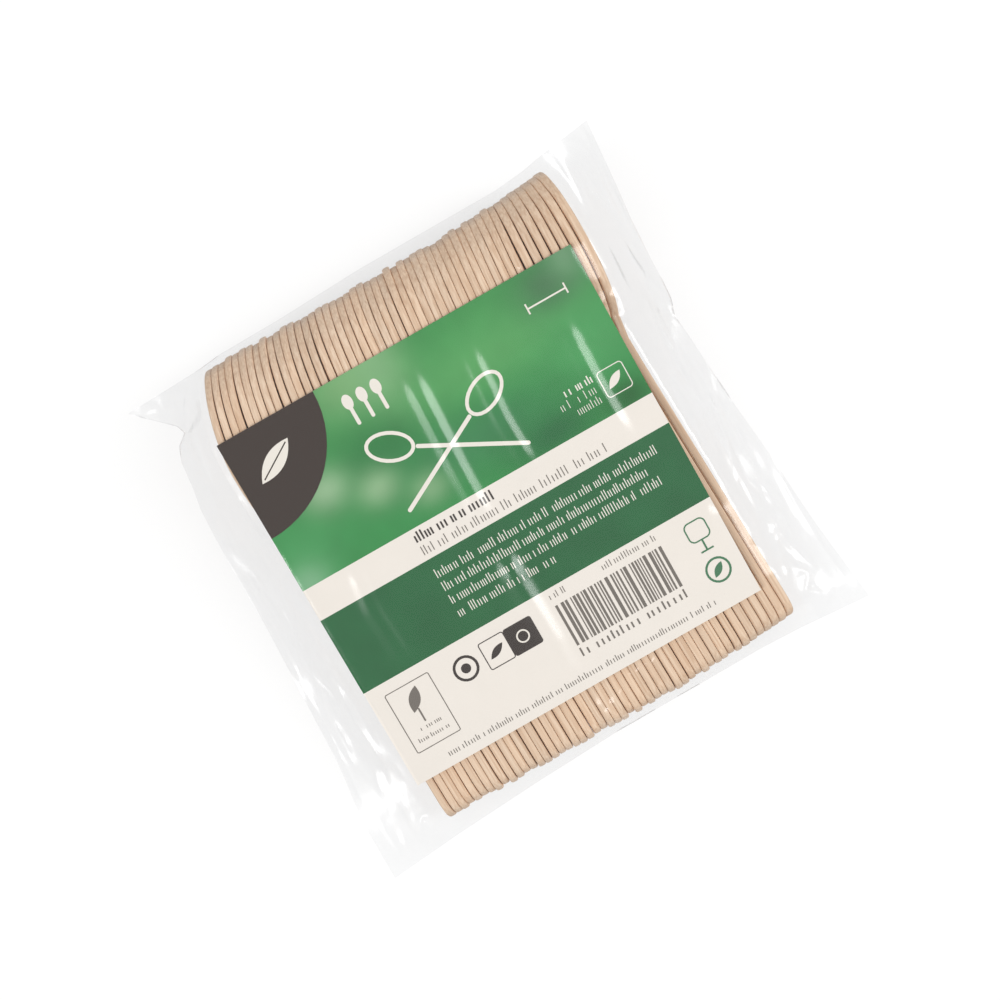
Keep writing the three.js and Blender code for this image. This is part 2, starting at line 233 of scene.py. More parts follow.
def spoon_middle(index, along):
    """Place across the row of spoon number index, at a distance from the handle ends."""
    share = np.clip(along / spoon_length, 0, 1)
    before = handle_looseness[index] * (1 - share) + tip_looseness[index] * share
    whole = handle_looseness[-1] * (1 - share) + tip_looseness[-1] * share
    left = -row_width / 2 + bend_line(left_bend, along)
    right = row_width / 2 + bend_line(right_bend, along)
    closest = spoon_thickness + closest_gap
    free = right - left - (spoon_count - 1) * closest
    return left + index * closest + free * before / whole


def wood_material():
    """Pale birch: fine streaks along the grain, a painted warm bounce light on the flats between the spoons,
    own tones.
    """
    wood = bpy.data.materials.new("spoon_wood")
    wood.use_nodes = True
    nodes, links = wood.node_tree.nodes, wood.node_tree.links
    shader = nodes["Principled BSDF"]
    place = nodes.new("ShaderNodeAttribute")
    place.attribute_name = "grain_place"
    tone = nodes.new("ShaderNodeAttribute")
    tone.attribute_name = "spoon_tone"
    stretch = nodes.new("ShaderNodeMapping")
    stretch.inputs["Scale"].default_value = (2600, 45, 1500)
    links.new(place.outputs["Vector"], stretch.inputs["Vector"])
    streaks = nodes.new("ShaderNodeTexNoise")
    streaks.inputs["Scale"].default_value = 1.0
    streaks.inputs["Detail"].default_value = 4.0
    links.new(stretch.outputs["Vector"], streaks.inputs["Vector"])
    shades = nodes.new("ShaderNodeValToRGB")
    shades.color_ramp.elements[0].position = 0.30
    shades.color_ramp.elements[0].color = (0.70, 0.48, 0.32, 1)
    shades.color_ramp.elements[1].position = 0.66
    shades.color_ramp.elements[1].color = (0.89, 0.68, 0.50, 1)
    links.new(streaks.outputs["Fac"], shades.inputs["Fac"])
    toned = nodes.new("ShaderNodeMix")
    toned.data_type = "RGBA"
    toned.blend_type = "MULTIPLY"
    toned.inputs["Factor"].default_value = 1.0
    links.new(shades.outputs["Color"], toned.inputs["A"])
    links.new(tone.outputs["Color"], toned.inputs["B"])
    # Painted bounce light: the flats between the spoons turn to a lighter, warmer wood that stands in for
    # light bounced in the gaps
    inside = nodes.new("ShaderNodeAttribute")
    inside.attribute_name = "painted_bounce_between_spoons"
    bounce_lit = nodes.new("ShaderNodeMix")
    bounce_lit.data_type = "RGBA"
    bounce_lit.inputs["B"].default_value = (0.97, 0.72, 0.50, 1)
    links.new(inside.outputs["Fac"], bounce_lit.inputs["Factor"])
    links.new(toned.outputs["Result"], bounce_lit.inputs["A"])
    links.new(bounce_lit.outputs["Result"], shader.inputs["Base Color"])
    shader.inputs["Roughness"].default_value = 0.72
    shader.inputs["Specular IOR Level"].default_value = 0.25
    bump = nodes.new("ShaderNodeBump")
    bump.inputs["Strength"].default_value = 0.25
    bump.inputs["Distance"].default_value = 0.0001
    links.new(streaks.outputs["Fac"], bump.inputs["Height"])
    links.new(bump.outputs["Normal"], shader.inputs["Normal"])
    return wood


spoon_wood = wood_material()
blank = spoon_blank()
blank_corners = np.empty(len(blank.data.vertices) * 3)
blank.data.vertices.foreach_get("co", blank_corners)
through, along, edge = blank_corners.reshape(-1, 3).T
underside = along * math.sin(spoon_tilt) - np.abs(edge) * math.cos(spoon_tilt)
grain_step = 0.013
below_rim = half_width(along) - np.abs(edge)
# Painted bounce light: how deep below the rim each place on a flat lies, as a share from 0 to 1
painted_bounce_depth = np.clip((below_rim - bounce_start) / bounce_fade, 0, 1)
bellied = through * (1 + belly * np.clip((below_rim - belly_start) / belly_fade, 0, 1))


def bent_corners(index):
    """Corners of spoon number index, bent and stood in the row."""
    skewed = skew_reach * max(0, (index - skew_from) / (spoon_count - 1 - skew_from))
    in_row = along + end_scatter * (2 * scatter(index, 3) - 1) + skewed
    turned = np.clip((index - turned_from) / (turned_to - turned_from), 0, 1)
    dish = dish_depth(left_bend, in_row) * (1 - turned) + dish_depth(right_bend, in_row) * turned
    share = np.clip(in_row / spoon_length, 0, 1)
    fan_lean = math.tan(fan_step * max(0, index - fan_from))
    gap_lean = handle_lean[index] * (1 - share) + tip_lean[index] * share
    rim = handle_end_width / 2 * (1 - share) + bowl_width / 2 * share
    thick = bellied * (1 + end_belly * (index > fan_from))
    x = spoon_middle(index, in_row) + dish * (1 - (edge / (bowl_width / 2)) ** 2) + thick
    x = x + fan_lean * edge + gap_lean * (edge - rim)
    y = in_row * math.cos(spoon_tilt) - edge * math.sin(spoon_tilt)
    z = in_row * math.sin(spoon_tilt) + edge * math.cos(spoon_tilt) - underside.min()
    return np.stack([x, y, z], axis=1)


spoon_names = [f"spoon_{index + 1:02d}" for index in range(spoon_count)]
row_corners = [bent_corners(index) for index in range(spoon_count)]
held_low = np.min([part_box(name)[0] for name in spoon_names], axis=0)
held_high = np.max([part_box(name)[1] for name in spoon_names], axis=0)
row_low = np.min(row_corners, axis=(0, 1))
row_high = np.max(row_corners, axis=(0, 1))
row_zero = (held_low + held_high - row_low - row_high) / 2
row_zero[2] = held_low[2] - row_low[2]
row_corners = [corners + row_zero for corners in row_corners]


def lay_spoon(index):
    """A copy of the blank with its own mesh, in its place in the row."""
    mesh = blank.data.copy()
    mesh.vertices.foreach_set("co", row_corners[index].ravel())
    place = np.stack([through + grain_step * index, along, edge], axis=1)
    mesh.attributes.new("grain_place", "FLOAT_VECTOR", "POINT").data.foreach_set("vector", place.ravel())
    # The outer flats of the first and last spoon face no neighbour and get no painted bounce light
    outer = (index == 0) * (through < 0) + (index == spoon_count - 1) * (through > 0)
    inside = np.where(outer, 0, painted_bounce_depth)
    mesh.attributes.new("painted_bounce_between_spoons", "FLOAT", "POINT").data.foreach_set("value", inside)
    lightness = 1 - 0.10 * scatter(index, 9)
    warmth = 0.04 * (scatter(index, 12) - 0.5)
    tone = np.tile([lightness, lightness * (1 - warmth), lightness * (1 - 2 * warmth), 1], len(along))
    mesh.attributes.new("spoon_tone", "FLOAT_COLOR", "POINT").data.foreach_set("color", tone)
    mesh.materials.clear()
    mesh.materials.append(spoon_wood)
    spoon = bpy.data.objects.new(f"{spoon_names[index]}_wood", mesh)
    bpy.context.collection.objects.link(spoon)
    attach(spoon, "root")
    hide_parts(spoon_names[index])
    return spoon


spoons = [lay_spoon(index) for index in range(spoon_count)]
bpy.data.objects.remove(blank)


# Printed card: one square of coated card that lies loose on the spoons. Its print is a blurred green
# field over a cream band, a darker green band and a cream foot, with a dark corner and plain marks.
card_width = 0.0855
card_length = 0.085
card_thickness = 0.0004
card_turn = math.radians(0.3)
card_slope = 2 * spoon_tilt
card_bow = 0.0001
card_low, card_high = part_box("label_card")
card_middle = np.array([(low + high) / 2 for low, high in zip(card_low, card_high)])
foot_top, second_top, band_top = 0.0232, 0.0416, 0.0492
ink_lift = 0.00003
over_lift = 0.00002


def on_card(across, up, lift):
    """Places on the card, from its lower left corner, at a height over its middle plane."""
    bow = card_bow * np.sin(math.pi * across / card_width) * np.sin(math.pi * up / card_length)
    height = lift + bow
    right, forward = across - card_width / 2, up - card_length / 2
    turned_right = right * math.cos(card_turn) - forward * math.sin(card_turn)
    turned_up = right * math.sin(card_turn) + forward * math.cos(card_turn)
    return card_middle + np.stack([
        turned_right,
        turned_up * math.cos(card_slope) - height * math.sin(card_slope),
        turned_up * math.sin(card_slope) + height * math.cos(card_slope),
    ], axis=1)


def plain_material(name, color, roughness, spread):
    """A flat ink or board with a faint unevenness, on Object coordinates."""
    ink = bpy.data.materials.new(name)
    ink.use_nodes = True
    nodes, links = ink.node_tree.nodes, ink.node_tree.links
    shader = nodes["Principled BSDF"]
    place = nodes.new("ShaderNodeTexCoord")
    fibres = nodes.new("ShaderNodeTexNoise")
    fibres.inputs["Scale"].default_value = 900
    fibres.inputs["Detail"].default_value = 3
    links.new(place.outputs["Object"], fibres.inputs["Vector"])
    shades = nodes.new("ShaderNodeValToRGB")
    shades.color_ramp.elements[0].color = (*(part * (1 - spread) for part in color), 1)
    shades.color_ramp.elements[1].color = (*(part * (1 + spread) for part in color), 1)
    links.new(fibres.outputs["Fac"], shades.inputs["Fac"])
    links.new(shades.outputs["Color"], shader.inputs["Base Color"])
    shader.inputs["Roughness"].default_value = roughness
    shader.inputs["Specular IOR Level"].default_value = 0.3
    return ink


field_green = (0.034, 0.275, 0.068)
soft_spots = (
    # place of the middle and reach, in metres from the card's lower left corner, then its green
    ((0.031, 0.083), (0.010, 0.007), (0.215, 0.450, 0.185)),
    ((0.038, 0.082), (0.006, 0.010), (0.260, 0.490, 0.240)),
    ((0.060, 0.082), (0.018, 0.008), (0.055, 0.300, 0.080)),
    ((0.060, 0.073), (0.026, 0.007), (0.100, 0.385, 0.115)),
    ((0.077, 0.080), (0.007, 0.006), (0.065, 0.190, 0.080)),
    ((0.083, 0.084), (0.004, 0.006), (0.150, 0.320, 0.165)),
    ((0.080, 0.066), (0.012, 0.008), (0.070, 0.350, 0.105)),
    ((0.030, 0.066), (0.010, 0.007), (0.022, 0.200, 0.050)),
    ((0.050, 0.059), (0.016, 0.006), (0.040, 0.230, 0.078)),
    ((0.063, 0.052), (0.010, 0.005), (0.018, 0.150, 0.045)),
    ((0.004, 0.056), (0.010, 0.007), (0.060, 0.330, 0.100)),
    ((0.002, 0.050), (0.005, 0.004), (0.200, 0.450, 0.240)),
    ((0.081, 0.051), (0.006, 0.004), (0.016, 0.140, 0.030)),
    ((0.0150, 0.0655), (0.0052, 0.0042), (0.300, 0.500, 0.280)),
    ((0.0250, 0.0605), (0.0046, 0.0038), (0.260, 0.460, 0.240)),
    ((0.0345, 0.0550), (0.0042, 0.0034), (0.220, 0.430, 0.210)),
)


def field_greens(across, up):
    """Blurred greens over the card: each soft spot draws the field's green towards its own."""
    greens = np.tile(np.array(field_green), (len(across), 1))
    for (x, y), (wide, high), green in soft_spots:
        share = np.exp(-((across - x) / wide) ** 2 - ((up - y) / high) ** 2)[:, None]
        greens = greens * (1 - share) + share * np.array(green)
    return greens


def print_material():
    """Printed card: the soft green field over bands of cream and deep green."""
    face = bpy.data.materials.new("card_print")
    face.use_nodes = True
    nodes, links = face.node_tree.nodes, face.node_tree.links
    shader = nodes["Principled BSDF"]
    place = nodes.new("ShaderNodeAttribute")
    place.attribute_name = "print_place"
    field = nodes.new("ShaderNodeAttribute")
    field.attribute_name = "field_green"
    cloudy = nodes.new("ShaderNodeTexNoise")
    cloudy.inputs["Scale"].default_value = 120
    cloudy.inputs["Detail"].default_value = 2.0
    links.new(place.outputs["Vector"], cloudy.inputs["Vector"])
    clouds = nodes.new("ShaderNodeValToRGB")
    clouds.color_ramp.elements[0].position = 0.25
    clouds.color_ramp.elements[0].color = (0.82, 0.84, 0.82, 1)
    clouds.color_ramp.elements[1].position = 0.75
    clouds.color_ramp.elements[1].color = (1.0, 1.0, 1.0, 1)
    links.new(cloudy.outputs["Fac"], clouds.inputs["Fac"])
    split = nodes.new("ShaderNodeSeparateXYZ")
    links.new(place.outputs["Vector"], split.inputs["Vector"])
    bands = nodes.new("ShaderNodeValToRGB")
    bands.color_ramp.interpolation = "CONSTANT"
    bands.color_ramp.elements[0].color = (0.86, 0.80, 0.73, 1)
    bands.color_ramp.elements[1].position = 10 * foot_top
    bands.color_ramp.elements[1].color = (0.018, 0.138, 0.045, 1)
    bands.color_ramp.elements.new(10 * second_top).color = (0.86, 0.80, 0.73, 1)
    tenths = nodes.new("ShaderNodeMath")
    tenths.operation = "MULTIPLY"
    tenths.inputs[1].default_value = 10
    links.new(split.outputs["Y"], tenths.inputs[0])
    links.new(tenths.outputs["Value"], bands.inputs["Fac"])
    in_field = nodes.new("ShaderNodeMath")
    in_field.operation = "GREATER_THAN"
    in_field.inputs[1].default_value = band_top
    links.new(split.outputs["Y"], in_field.inputs[0])
    printed = nodes.new("ShaderNodeMix")
    printed.data_type = "RGBA"
    links.new(in_field.outputs["Value"], printed.inputs["Factor"])
    links.new(bands.outputs["Color"], printed.inputs["A"])
    links.new(field.outputs["Color"], printed.inputs["B"])
    clouded = nodes.new("ShaderNodeMix")
    clouded.data_type = "RGBA"
    clouded.blend_type = "MULTIPLY"
    on_green = nodes.new("ShaderNodeMath")
    on_green.operation = "SUBTRACT"
    on_green.inputs[0].default_value = 1.0
    parts = nodes.new("ShaderNodeSeparateColor")
    links.new(printed.outputs["Result"], parts.inputs["Color"])
    links.new(parts.outputs["Red"], on_green.inputs[1])
    links.new(on_green.outputs["Value"], clouded.inputs["Factor"])
    links.new(printed.outputs["Result"], clouded.inputs["A"])
    links.new(clouds.outputs["Color"], clouded.inputs["B"])
    links.new(clouded.outputs["Result"], shader.inputs["Base Color"])
    shader.inputs["Roughness"].default_value = 0.5
    shader.inputs["Specular IOR Level"].default_value = 0.3
    return face


bpy.ops.object.select_all(action="DESELECT")
bpy.ops.mesh.primitive_grid_add(x_subdivisions=90, y_subdivisions=90, size=1)
card = bpy.context.object
card.name = "label_card_print"
for paper in (print_material(), plain_material("card_back", (0.72, 0.68, 0.62), 0.8, 0.08)):
    card.data.materials.append(paper)
flat = np.empty(len(card.data.vertices) * 3)
card.data.vertices.foreach_get("co", flat)
flat = flat.reshape(-1, 3) + 0.5
across, up = flat[:, 0] * card_width, flat[:, 1] * card_length
card_corners = on_card(across, up, 0.0)
card.data.vertices.foreach_set("co", card_corners.ravel())
print_place = np.stack([across, up, np.zeros(len(flat))], axis=1)
placed = card.data.attributes.new("print_place", "FLOAT_VECTOR", "POINT")
placed.data.foreach_set("vector", print_place.ravel())
greens = np.concatenate([field_greens(across, up), np.ones((len(flat), 1))], axis=1)
coloured = card.data.attributes.new("field_green", "FLOAT_COLOR", "POINT")
coloured.data.foreach_set("color", greens.ravel())
board = card.modifiers.new("board", "SOLIDIFY")
board.thickness = card_thickness
board.offset = 0
board.material_offset = 1
board.material_offset_rim = 1
bpy.ops.object.modifier_apply(modifier=board.name)
bpy.ops.object.shade_smooth_by_angle(angle=math.radians(40))

# Marks printed on the card: plain bars, ovals, leaves and rows of ticks, each a thin layer of ink. Places
# and sizes are in millimetres from the card's lower left corner.
mark_points, mark_lifts, mark_faces, mark_inks = [], [], [], []
inks = ["cream", "dark", "grey", "green", "brown"]


def shape_points(kind, half_wide, half_high, corner):
    """Outline of a mark round its own middle."""
    if kind == "bar" and corner == 0:
        return np.array([(-1, -1), (1, -1), (1, 1), (-1, 1)]) * (half_wide, half_high)
    turns = np.radians(np.arange(0, 360, 15) + 7.5)
    circle = np.stack([np.cos(turns), np.sin(turns)], axis=1)
    if kind == "bar":
        return circle * corner + np.sign(circle) * (half_wide - corner, half_high - corner)
    if kind == "oval":
        return circle * (half_wide, half_high)
    along_leaf = np.concatenate([np.linspace(-1, 1, 11), np.linspace(1, -1, 11)[1:-1]])
    side = np.concatenate([-np.ones(11), np.ones(9)])
    return np.stack([along_leaf * half_wide, side * (1 - along_leaf ** 2) * half_high], axis=1)


def mark(ink, kind, middle, half, turn=0, corner=0, line=0, over=0):
    """Adds one mark, filled, or in outline where line gives its width. Over is how many marks lie below."""
    turn = math.radians(turn)
    spin = np.array([(math.cos(turn), math.sin(turn)), (-math.sin(turn), math.cos(turn))])
    outer = shape_points(kind, *half, corner) @ spin + middle
    start, count = len(mark_points), len(outer)
    mark_points.extend(outer)
    if line:
        inner = shape_points(kind, half[0] - line, half[1] - line, max(corner - line, 0.01)) @ spin + middle
        mark_points.extend(inner)
        for k in range(count):
            after = (k + 1) % count
            mark_faces.append((start + k, start + after, start + count + after, start + count + k))
            mark_inks.append(inks.index(ink))
    else:
        mark_faces.append(tuple(range(start, start + count)))
        mark_inks.append(inks.index(ink))
    mark_lifts.extend([over_lift * over] * (len(mark_points) - start))


def ticks(ink, left, right, middle, height, pitch, weight, salt):
    """A row of short plain ticks in groups, some of them taller."""
    x, k = left, 0
    while x < right:
        k += 1
        if scatter(k, salt) < 0.17:
            x += 0.9 * pitch
            continue
        tall = height * (0.5 if scatter(k, salt + 1) < 0.3 else 0.34)
        mark(ink, "bar", (x, middle + tall - 0.34 * height), (weight * pitch / 2, tall))
        x += pitch * (0.8 + 0.4 * scatter(k, salt + 2))


card_top = 1000 * card_length
corner_wide, corner_high = 23.2, 22.8
dark_corner = [(0.0, card_top)]
for turn in range(0, 91, 6):
    swing = math.radians(turn)
    dark_corner.append((corner_wide * math.sin(swing), card_top - corner_high * math.cos(swing)))
mark_points.extend(dark_corner)
mark_lifts.extend([0] * len(dark_corner))
mark_faces.append(tuple(range(len(dark_corner))))
mark_inks.append(inks.index("brown"))
mark("cream", "leaf", (9.0, 76.2), (5.6, 2.1), turn=32, over=1)
mark("brown", "bar", (9.0, 76.2), (4.6, 0.14), turn=32, over=2)
for middle in (28.4, 31.8, 35.2):
    mark("cream", "oval", (middle, 79.4), (1.15, 1.7), corner=1)
    mark("cream", "bar", (middle, 76.4), (0.42, 2.4), corner=0.4, over=1)
mark("cream", "bar", (75.6, 77.6), (4.6, 0.18))
mark("cream", "bar", (71.0, 77.6), (0.18, 1.2), over=1)
mark("cream", "bar", (80.2, 77.6), (0.18, 1.2), over=1)
mark("cream", "oval", (54.4, 66.8), (5.4, 3.4), turn=28, line=0.8)
mark("cream", "bar", (38.8, 58.5), (12.2, 0.46), turn=28, corner=0.44, over=1)
mark("cream", "oval", (31.4, 66.8), (5.4, 3.4), turn=-28, line=0.8)
mark("cream", "bar", (47.0, 58.5), (12.2, 0.46), turn=-28, corner=0.44, over=2)
mark("cream", "bar", (79.9, 55.6), (3.1, 3.1), corner=0.9, line=0.22)
mark("cream", "leaf", (79.9, 55.6), (2.3, 0.9), turn=35)
ticks("cream", 68.6, 75.6, 58.0, 1.9, 0.62, 0.50, 20)
ticks("cream", 67.0, 75.6, 55.6, 1.9, 0.62, 0.26, 24)
ticks("cream", 69.8, 75.6, 53.2, 1.9, 0.62, 0.26, 28)
ticks("dark", 26.4, 45.4, 46.9, 2.3, 0.80, 0.50, 32)
ticks("grey", 26.4, 72.0, 43.7, 2.1, 0.80, 0.26, 36)
for line, (middle, right) in enumerate(((38.0, 80.5), (34.8, 76.5), (31.6, 78.0), (28.3, 50.0))):
    ticks("cream", 26.4, right, middle, 2.1, 0.62, 0.34, 40 + 4 * line)
mark("grey", "bar", (8.9, 13.4), (5.4, 7.4), corner=0.5, line=0.2)
mark("grey", "leaf", (8.9, 16.9), (3.0, 1.3), turn=60)
mark("grey", "bar", (8.6, 13.2), (0.18, 1.6), over=1)
ticks("grey", 6.4, 12.0, 10.4, 1.0, 0.5, 0.35, 60)
ticks("grey", 5.2, 12.8, 8.2, 1.0, 0.5, 0.35, 64)
mark("dark", "oval", (21.8, 17.2), (2.9, 2.9), line=0.6)
mark("dark", "oval", (21.8, 17.2), (1.1, 1.1))
mark("dark", "bar", (35.9, 17.2), (3.4, 3.3), corner=0.6, over=1)
mark("cream", "oval", (35.9, 17.2), (1.5, 1.5), line=0.35, over=2)
mark("dark", "bar", (29.4, 17.2), (3.1, 3.3), corner=0.6, line=0.22)
mark("dark", "leaf", (29.4, 17.2), (2.2, 0.8), turn=30)
stripe = 45.0
while stripe < 71.2:
    thick = 0.26 + 0.62 * scatter(stripe, 70) ** 2
    mark("grey", "bar", (stripe + thick / 2, 14.4), (thick / 2, 5.0))
    stripe += thick + 0.26 + 0.5 * scatter(stripe, 71) ** 2
ticks("grey", 45.2, 71.2, 7.4, 2.0, 1.3, 0.30, 72)
ticks("grey", 45.0, 49.4, 21.5, 1.5, 0.6, 0.30, 76)
ticks("grey", 58.0, 72.0, 21.5, 1.5, 0.6, 0.30, 80)
ticks("grey", 9.4, 76.0, 2.6, 1.4, 0.62, 0.30, 84)
mark("green", "bar", (79.6, 18.4), (2.6, 2.4), corner=1.4, line=0.32)
mark("green", "bar", (79.6, 14.9), (0.2, 1.3), over=1)
mark("green", "bar", (79.6, 13.6), (1.5, 0.18), over=2)
mark("green", "oval", (79.6, 8.6), (2.9, 2.9), line=0.5)
mark("green", "leaf", (79.6, 8.6), (1.9, 0.8), turn=45)

flat_marks = np.array(mark_points) / 1000
marks_mesh = bpy.data.meshes.new("card_marks")
ink_heights = card_thickness / 2 + np.array(mark_lifts)
laid_marks = on_card(flat_marks[:, 0], flat_marks[:, 1], ink_heights)
marks_mesh.from_pydata(laid_marks.tolist(), [], mark_faces)
ink_colors = {"cream": (0.84, 0.79, 0.71), "dark": (0.045, 0.035, 0.030), "grey": (0.17, 0.15, 0.13),
              "green": (0.060, 0.190, 0.095), "brown": (0.042, 0.028, 0.022)}
for ink in inks:
    marks_mesh.materials.append(plain_material(f"ink_{ink}", ink_colors[ink], 0.5, 0.012))
marks_mesh.polygons.foreach_set("material_index", mark_inks)
marks = bpy.data.objects.new("card_marks", marks_mesh)
bpy.context.collection.objects.link(marks)
bpy.ops.object.select_all(action="DESELECT")
marks.select_set(True)
bpy.context.view_layer.objects.active = marks
layer = marks.modifiers.new("layer", "SOLIDIFY")
layer.thickness = 2 * ink_lift
layer.offset = 0
bpy.ops.object.modifier_apply(modifier=layer.name)
card.select_set(True)
bpy.context.view_layer.objects.active = card
bpy.ops.object.join()
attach(card, "root")
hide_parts("label_card")


# Film bag: one thin clear film, folded round the spoons and the card. It is welded along its left and
# right end, lies in folds past the spoon ends, and is creased and puckered where it was pulled.
film_gap = 0.0004
fold_heights = {"handle": 0.0040, "tip": 0.0080}
seal_height = 0.0045
seal_wave = 0.0010
seal_wave_count = 3.5
seal_width = 0.0030
film_floor = 0.0002

# Outline of the bag seen from above, in millimetres: along its left seal from the handle ends to the
# tips, along its right seal, and the folds past the handle ends and past the tips from left to right
left_seal = [(-60.7, -62.1), (-60.5, -47.0), (-59.4, -36.0), (-58.9, -25.0), (-58.3, -14.0), (-58.3, -3.0),
             (-58.1, 30.0), (-57.4, 34.5), (-56.7, 41.2), (-55.2, 44.5), (-52.6, 46.2), (-53.4, 48.4),
             (-57.0, 51.8), (-61.6, 56.2)]
right_seal = [(61.1, -58.8), (60.2, -51.5), (59.1, -40.5), (58.0, -29.4), (56.9, -16.2), (55.8, -3.0),
              (54.7, 10.3), (54.0, 15.8), (55.4, 20.2), (55.8, 25.7), (56.3, 39.0), (57.4, 52.2),
              (58.5, 63.2)]
handle_fold = [(-60.7, -62.1), (-47.7, -60.5), (-25.7, -59.0), (-3.7, -57.9), (18.2, -57.7), (33.6, -57.5),
               (46.8, -57.9), (61.1, -58.8)]
tip_fold = [(-61.6, 56.2), (-60.4, 57.0), (-49.0, 56.4), (-41.2, 57.3), (-25.7, 57.6), (-3.7, 58.6),
            (18.2, 58.8), (32.5, 58.9), (40.2, 59.7), (58.5, 63.2)]

row_left, row_span = -0.047, 0.091
left_columns, row_columns, right_columns = 50, 190, 56
film_rows = 160


def wrap_around(points):
    """Lower and upper side of the convex outline round points of Y and Z, from low Y to high Y."""
    ordered = sorted(map(tuple, points))

    def chain(turn):
        found = []
        for y, z in ordered:
            while len(found) > 1:
                (ay, az), (by, bz) = found[-2:]
                if ((by - ay) * (z - az) - (bz - az) * (y - ay)) * turn > 0:
                    break
                found.pop()
            found.append((y, z))
        return np.array(found)
    return chain(1), chain(-1)


def held_outline(index):
    """What the film wraps near spoon number index, seen along the row, with the film's gap round it."""
    spoon = row_corners[index][:, 1:]
    edges = card_corners[[0, -1], 1:] + (0, card_thickness / 2)
    low, high = wrap_around(np.concatenate([spoon, edges]))
    held = np.concatenate([low, high])
    turns = np.radians(np.arange(0, 360, 30))
    grown = held[:, None, :] + film_gap * np.stack([np.cos(turns), np.sin(turns)], axis=1)[None]
    low, high = wrap_around(grown.reshape(-1, 2))
    return np.concatenate([low, high])


def along_line(line, at, axis):
    """Places on a line of points at given values of one of its axes."""
    points = np.array(line) / 1000
    return np.interp(at, points[:, axis], points[:, 1 - axis])


outlines = [held_outline(index) for index in range(spoon_count)]
row_share = np.linspace(0, 1, film_rows + 1)
row_share = 0.35 * row_share + 0.65 * (1 - np.cos(np.pi * row_share)) / 2
first = row_corners[0]
last = row_corners[-1]
bins = np.linspace(first[:, 1].min(), first[:, 1].max(), 60)


def row_edge(corners, side):
    """How far an outermost spoon reaches to its side, at even places along it."""
    reach = []
    for at in bins:
        near = np.abs(corners[:, 1] - at) < 0.0025
        reach.append((side * corners[near, 0]).max() + film_gap)
    return side * np.array(reach)


left_reach = row_edge(first, -1)
right_reach = row_edge(last, 1)

columns = left_columns + row_columns + right_columns
upper = np.zeros((columns + 1, film_rows + 1, 3))
slack = np.zeros((columns + 1, film_rows + 1))
lower = np.zeros_like(upper)
for k in range(columns + 1):
    side = -1 if k < left_columns else (1 if k > left_columns + row_columns else 0)
    share = np.clip((k - left_columns) / row_columns, 0, 1)
    near_x = row_left + row_span * share
    y_low = along_line(handle_fold, near_x, 0)
    y_high = along_line(tip_fold, near_x, 0)
    y = y_low + (y_high - y_low) * row_share
    near = round(share * (spoon_count - 1))
    held = outlines[max(0, near - 1):near + 2]
    low_side, high_side = wrap_around(np.concatenate([
        *held, [(y_low, fold_heights["handle"]), (y_high, fold_heights["tip"])]]))
    z_up = np.interp(y, high_side[:, 0], high_side[:, 1])
    z_low = np.maximum(film_floor, np.interp(y, low_side[:, 0], low_side[:, 1]))
    x = np.interp(y, bins, left_reach) * (1 - share) + np.interp(y, bins, right_reach) * share
    if side:
        seal = left_seal if side < 0 else right_seal
        to_right = (k - left_columns - row_columns) / right_columns
        out = 1 - k / left_columns if side < 0 else to_right
        y_seal = seal[0][1] / 1000 + (seal[-1][1] - seal[0][1]) / 1000 * row_share
        x_seal = along_line(seal, y_seal, 1)
        z_seal = seal_height + seal_wave * np.sin(2 * np.pi * seal_wave_count * row_share + side)
        swell = (1 - out) ** 1.15
        slack[k] = min(1, 3 * out)
        x = x + (x_seal - x) * out
        y = y + (y_seal - y) * out
        z_up = z_seal + (z_up - z_seal) * swell
        z_low = z_seal + (z_low - z_seal) * swell
    upper[k] = np.stack([x, y, z_up], axis=1)
    lower[k] = np.stack([x, y, z_low], axis=1)


def eased(sheet, passes):
    """The sheet with its bends eased, its border held."""
    z = sheet[:, :, 2]
    for _ in range(passes):
        z[1:-1, 1:-1] = (2 * z[1:-1, 1:-1] + z[:-2, 1:-1] + z[2:, 1:-1] + z[1:-1, :-2] + z[1:-1, 2:]) / 6
    return sheet


upper = eased(upper, 4)
lower = eased(lower, 2)


def crease(sheet, line, height, width, soft=False, taper=0.25):
    """Raises a crease along a line of points in millimetres, sharp or soft at its crest, its ends tapered."""
    points = np.array(line) / 1000
    x, y = sheet[:, :, 0], sheet[:, :, 1]
    steps = np.linalg.norm(np.diff(points, axis=0), axis=1)
    whole = steps.sum()
    best = np.full(x.shape, 1.0)
    place = np.zeros(x.shape)
    for k, length in enumerate(steps):
        start, run = points[k], (points[k + 1] - points[k]) / length
        on = np.clip((x - start[0]) * run[0] + (y - start[1]) * run[1], 0, length)
        away = np.hypot(x - start[0] - on * run[0], y - start[1] - on * run[1])
        closer = away < best
        best = np.where(closer, away, best)
        place = np.where(closer, steps[:k].sum() + on, place)
    ends = np.clip(np.minimum(place, whole - place) / (taper * whole), 0, 1)
    ends = ends * ends * (3 - 2 * ends)
    sheet[:, :, 2] += height / 1000 * ends * np.exp(-(best / (width / 1000)) ** (2 if soft else 1))


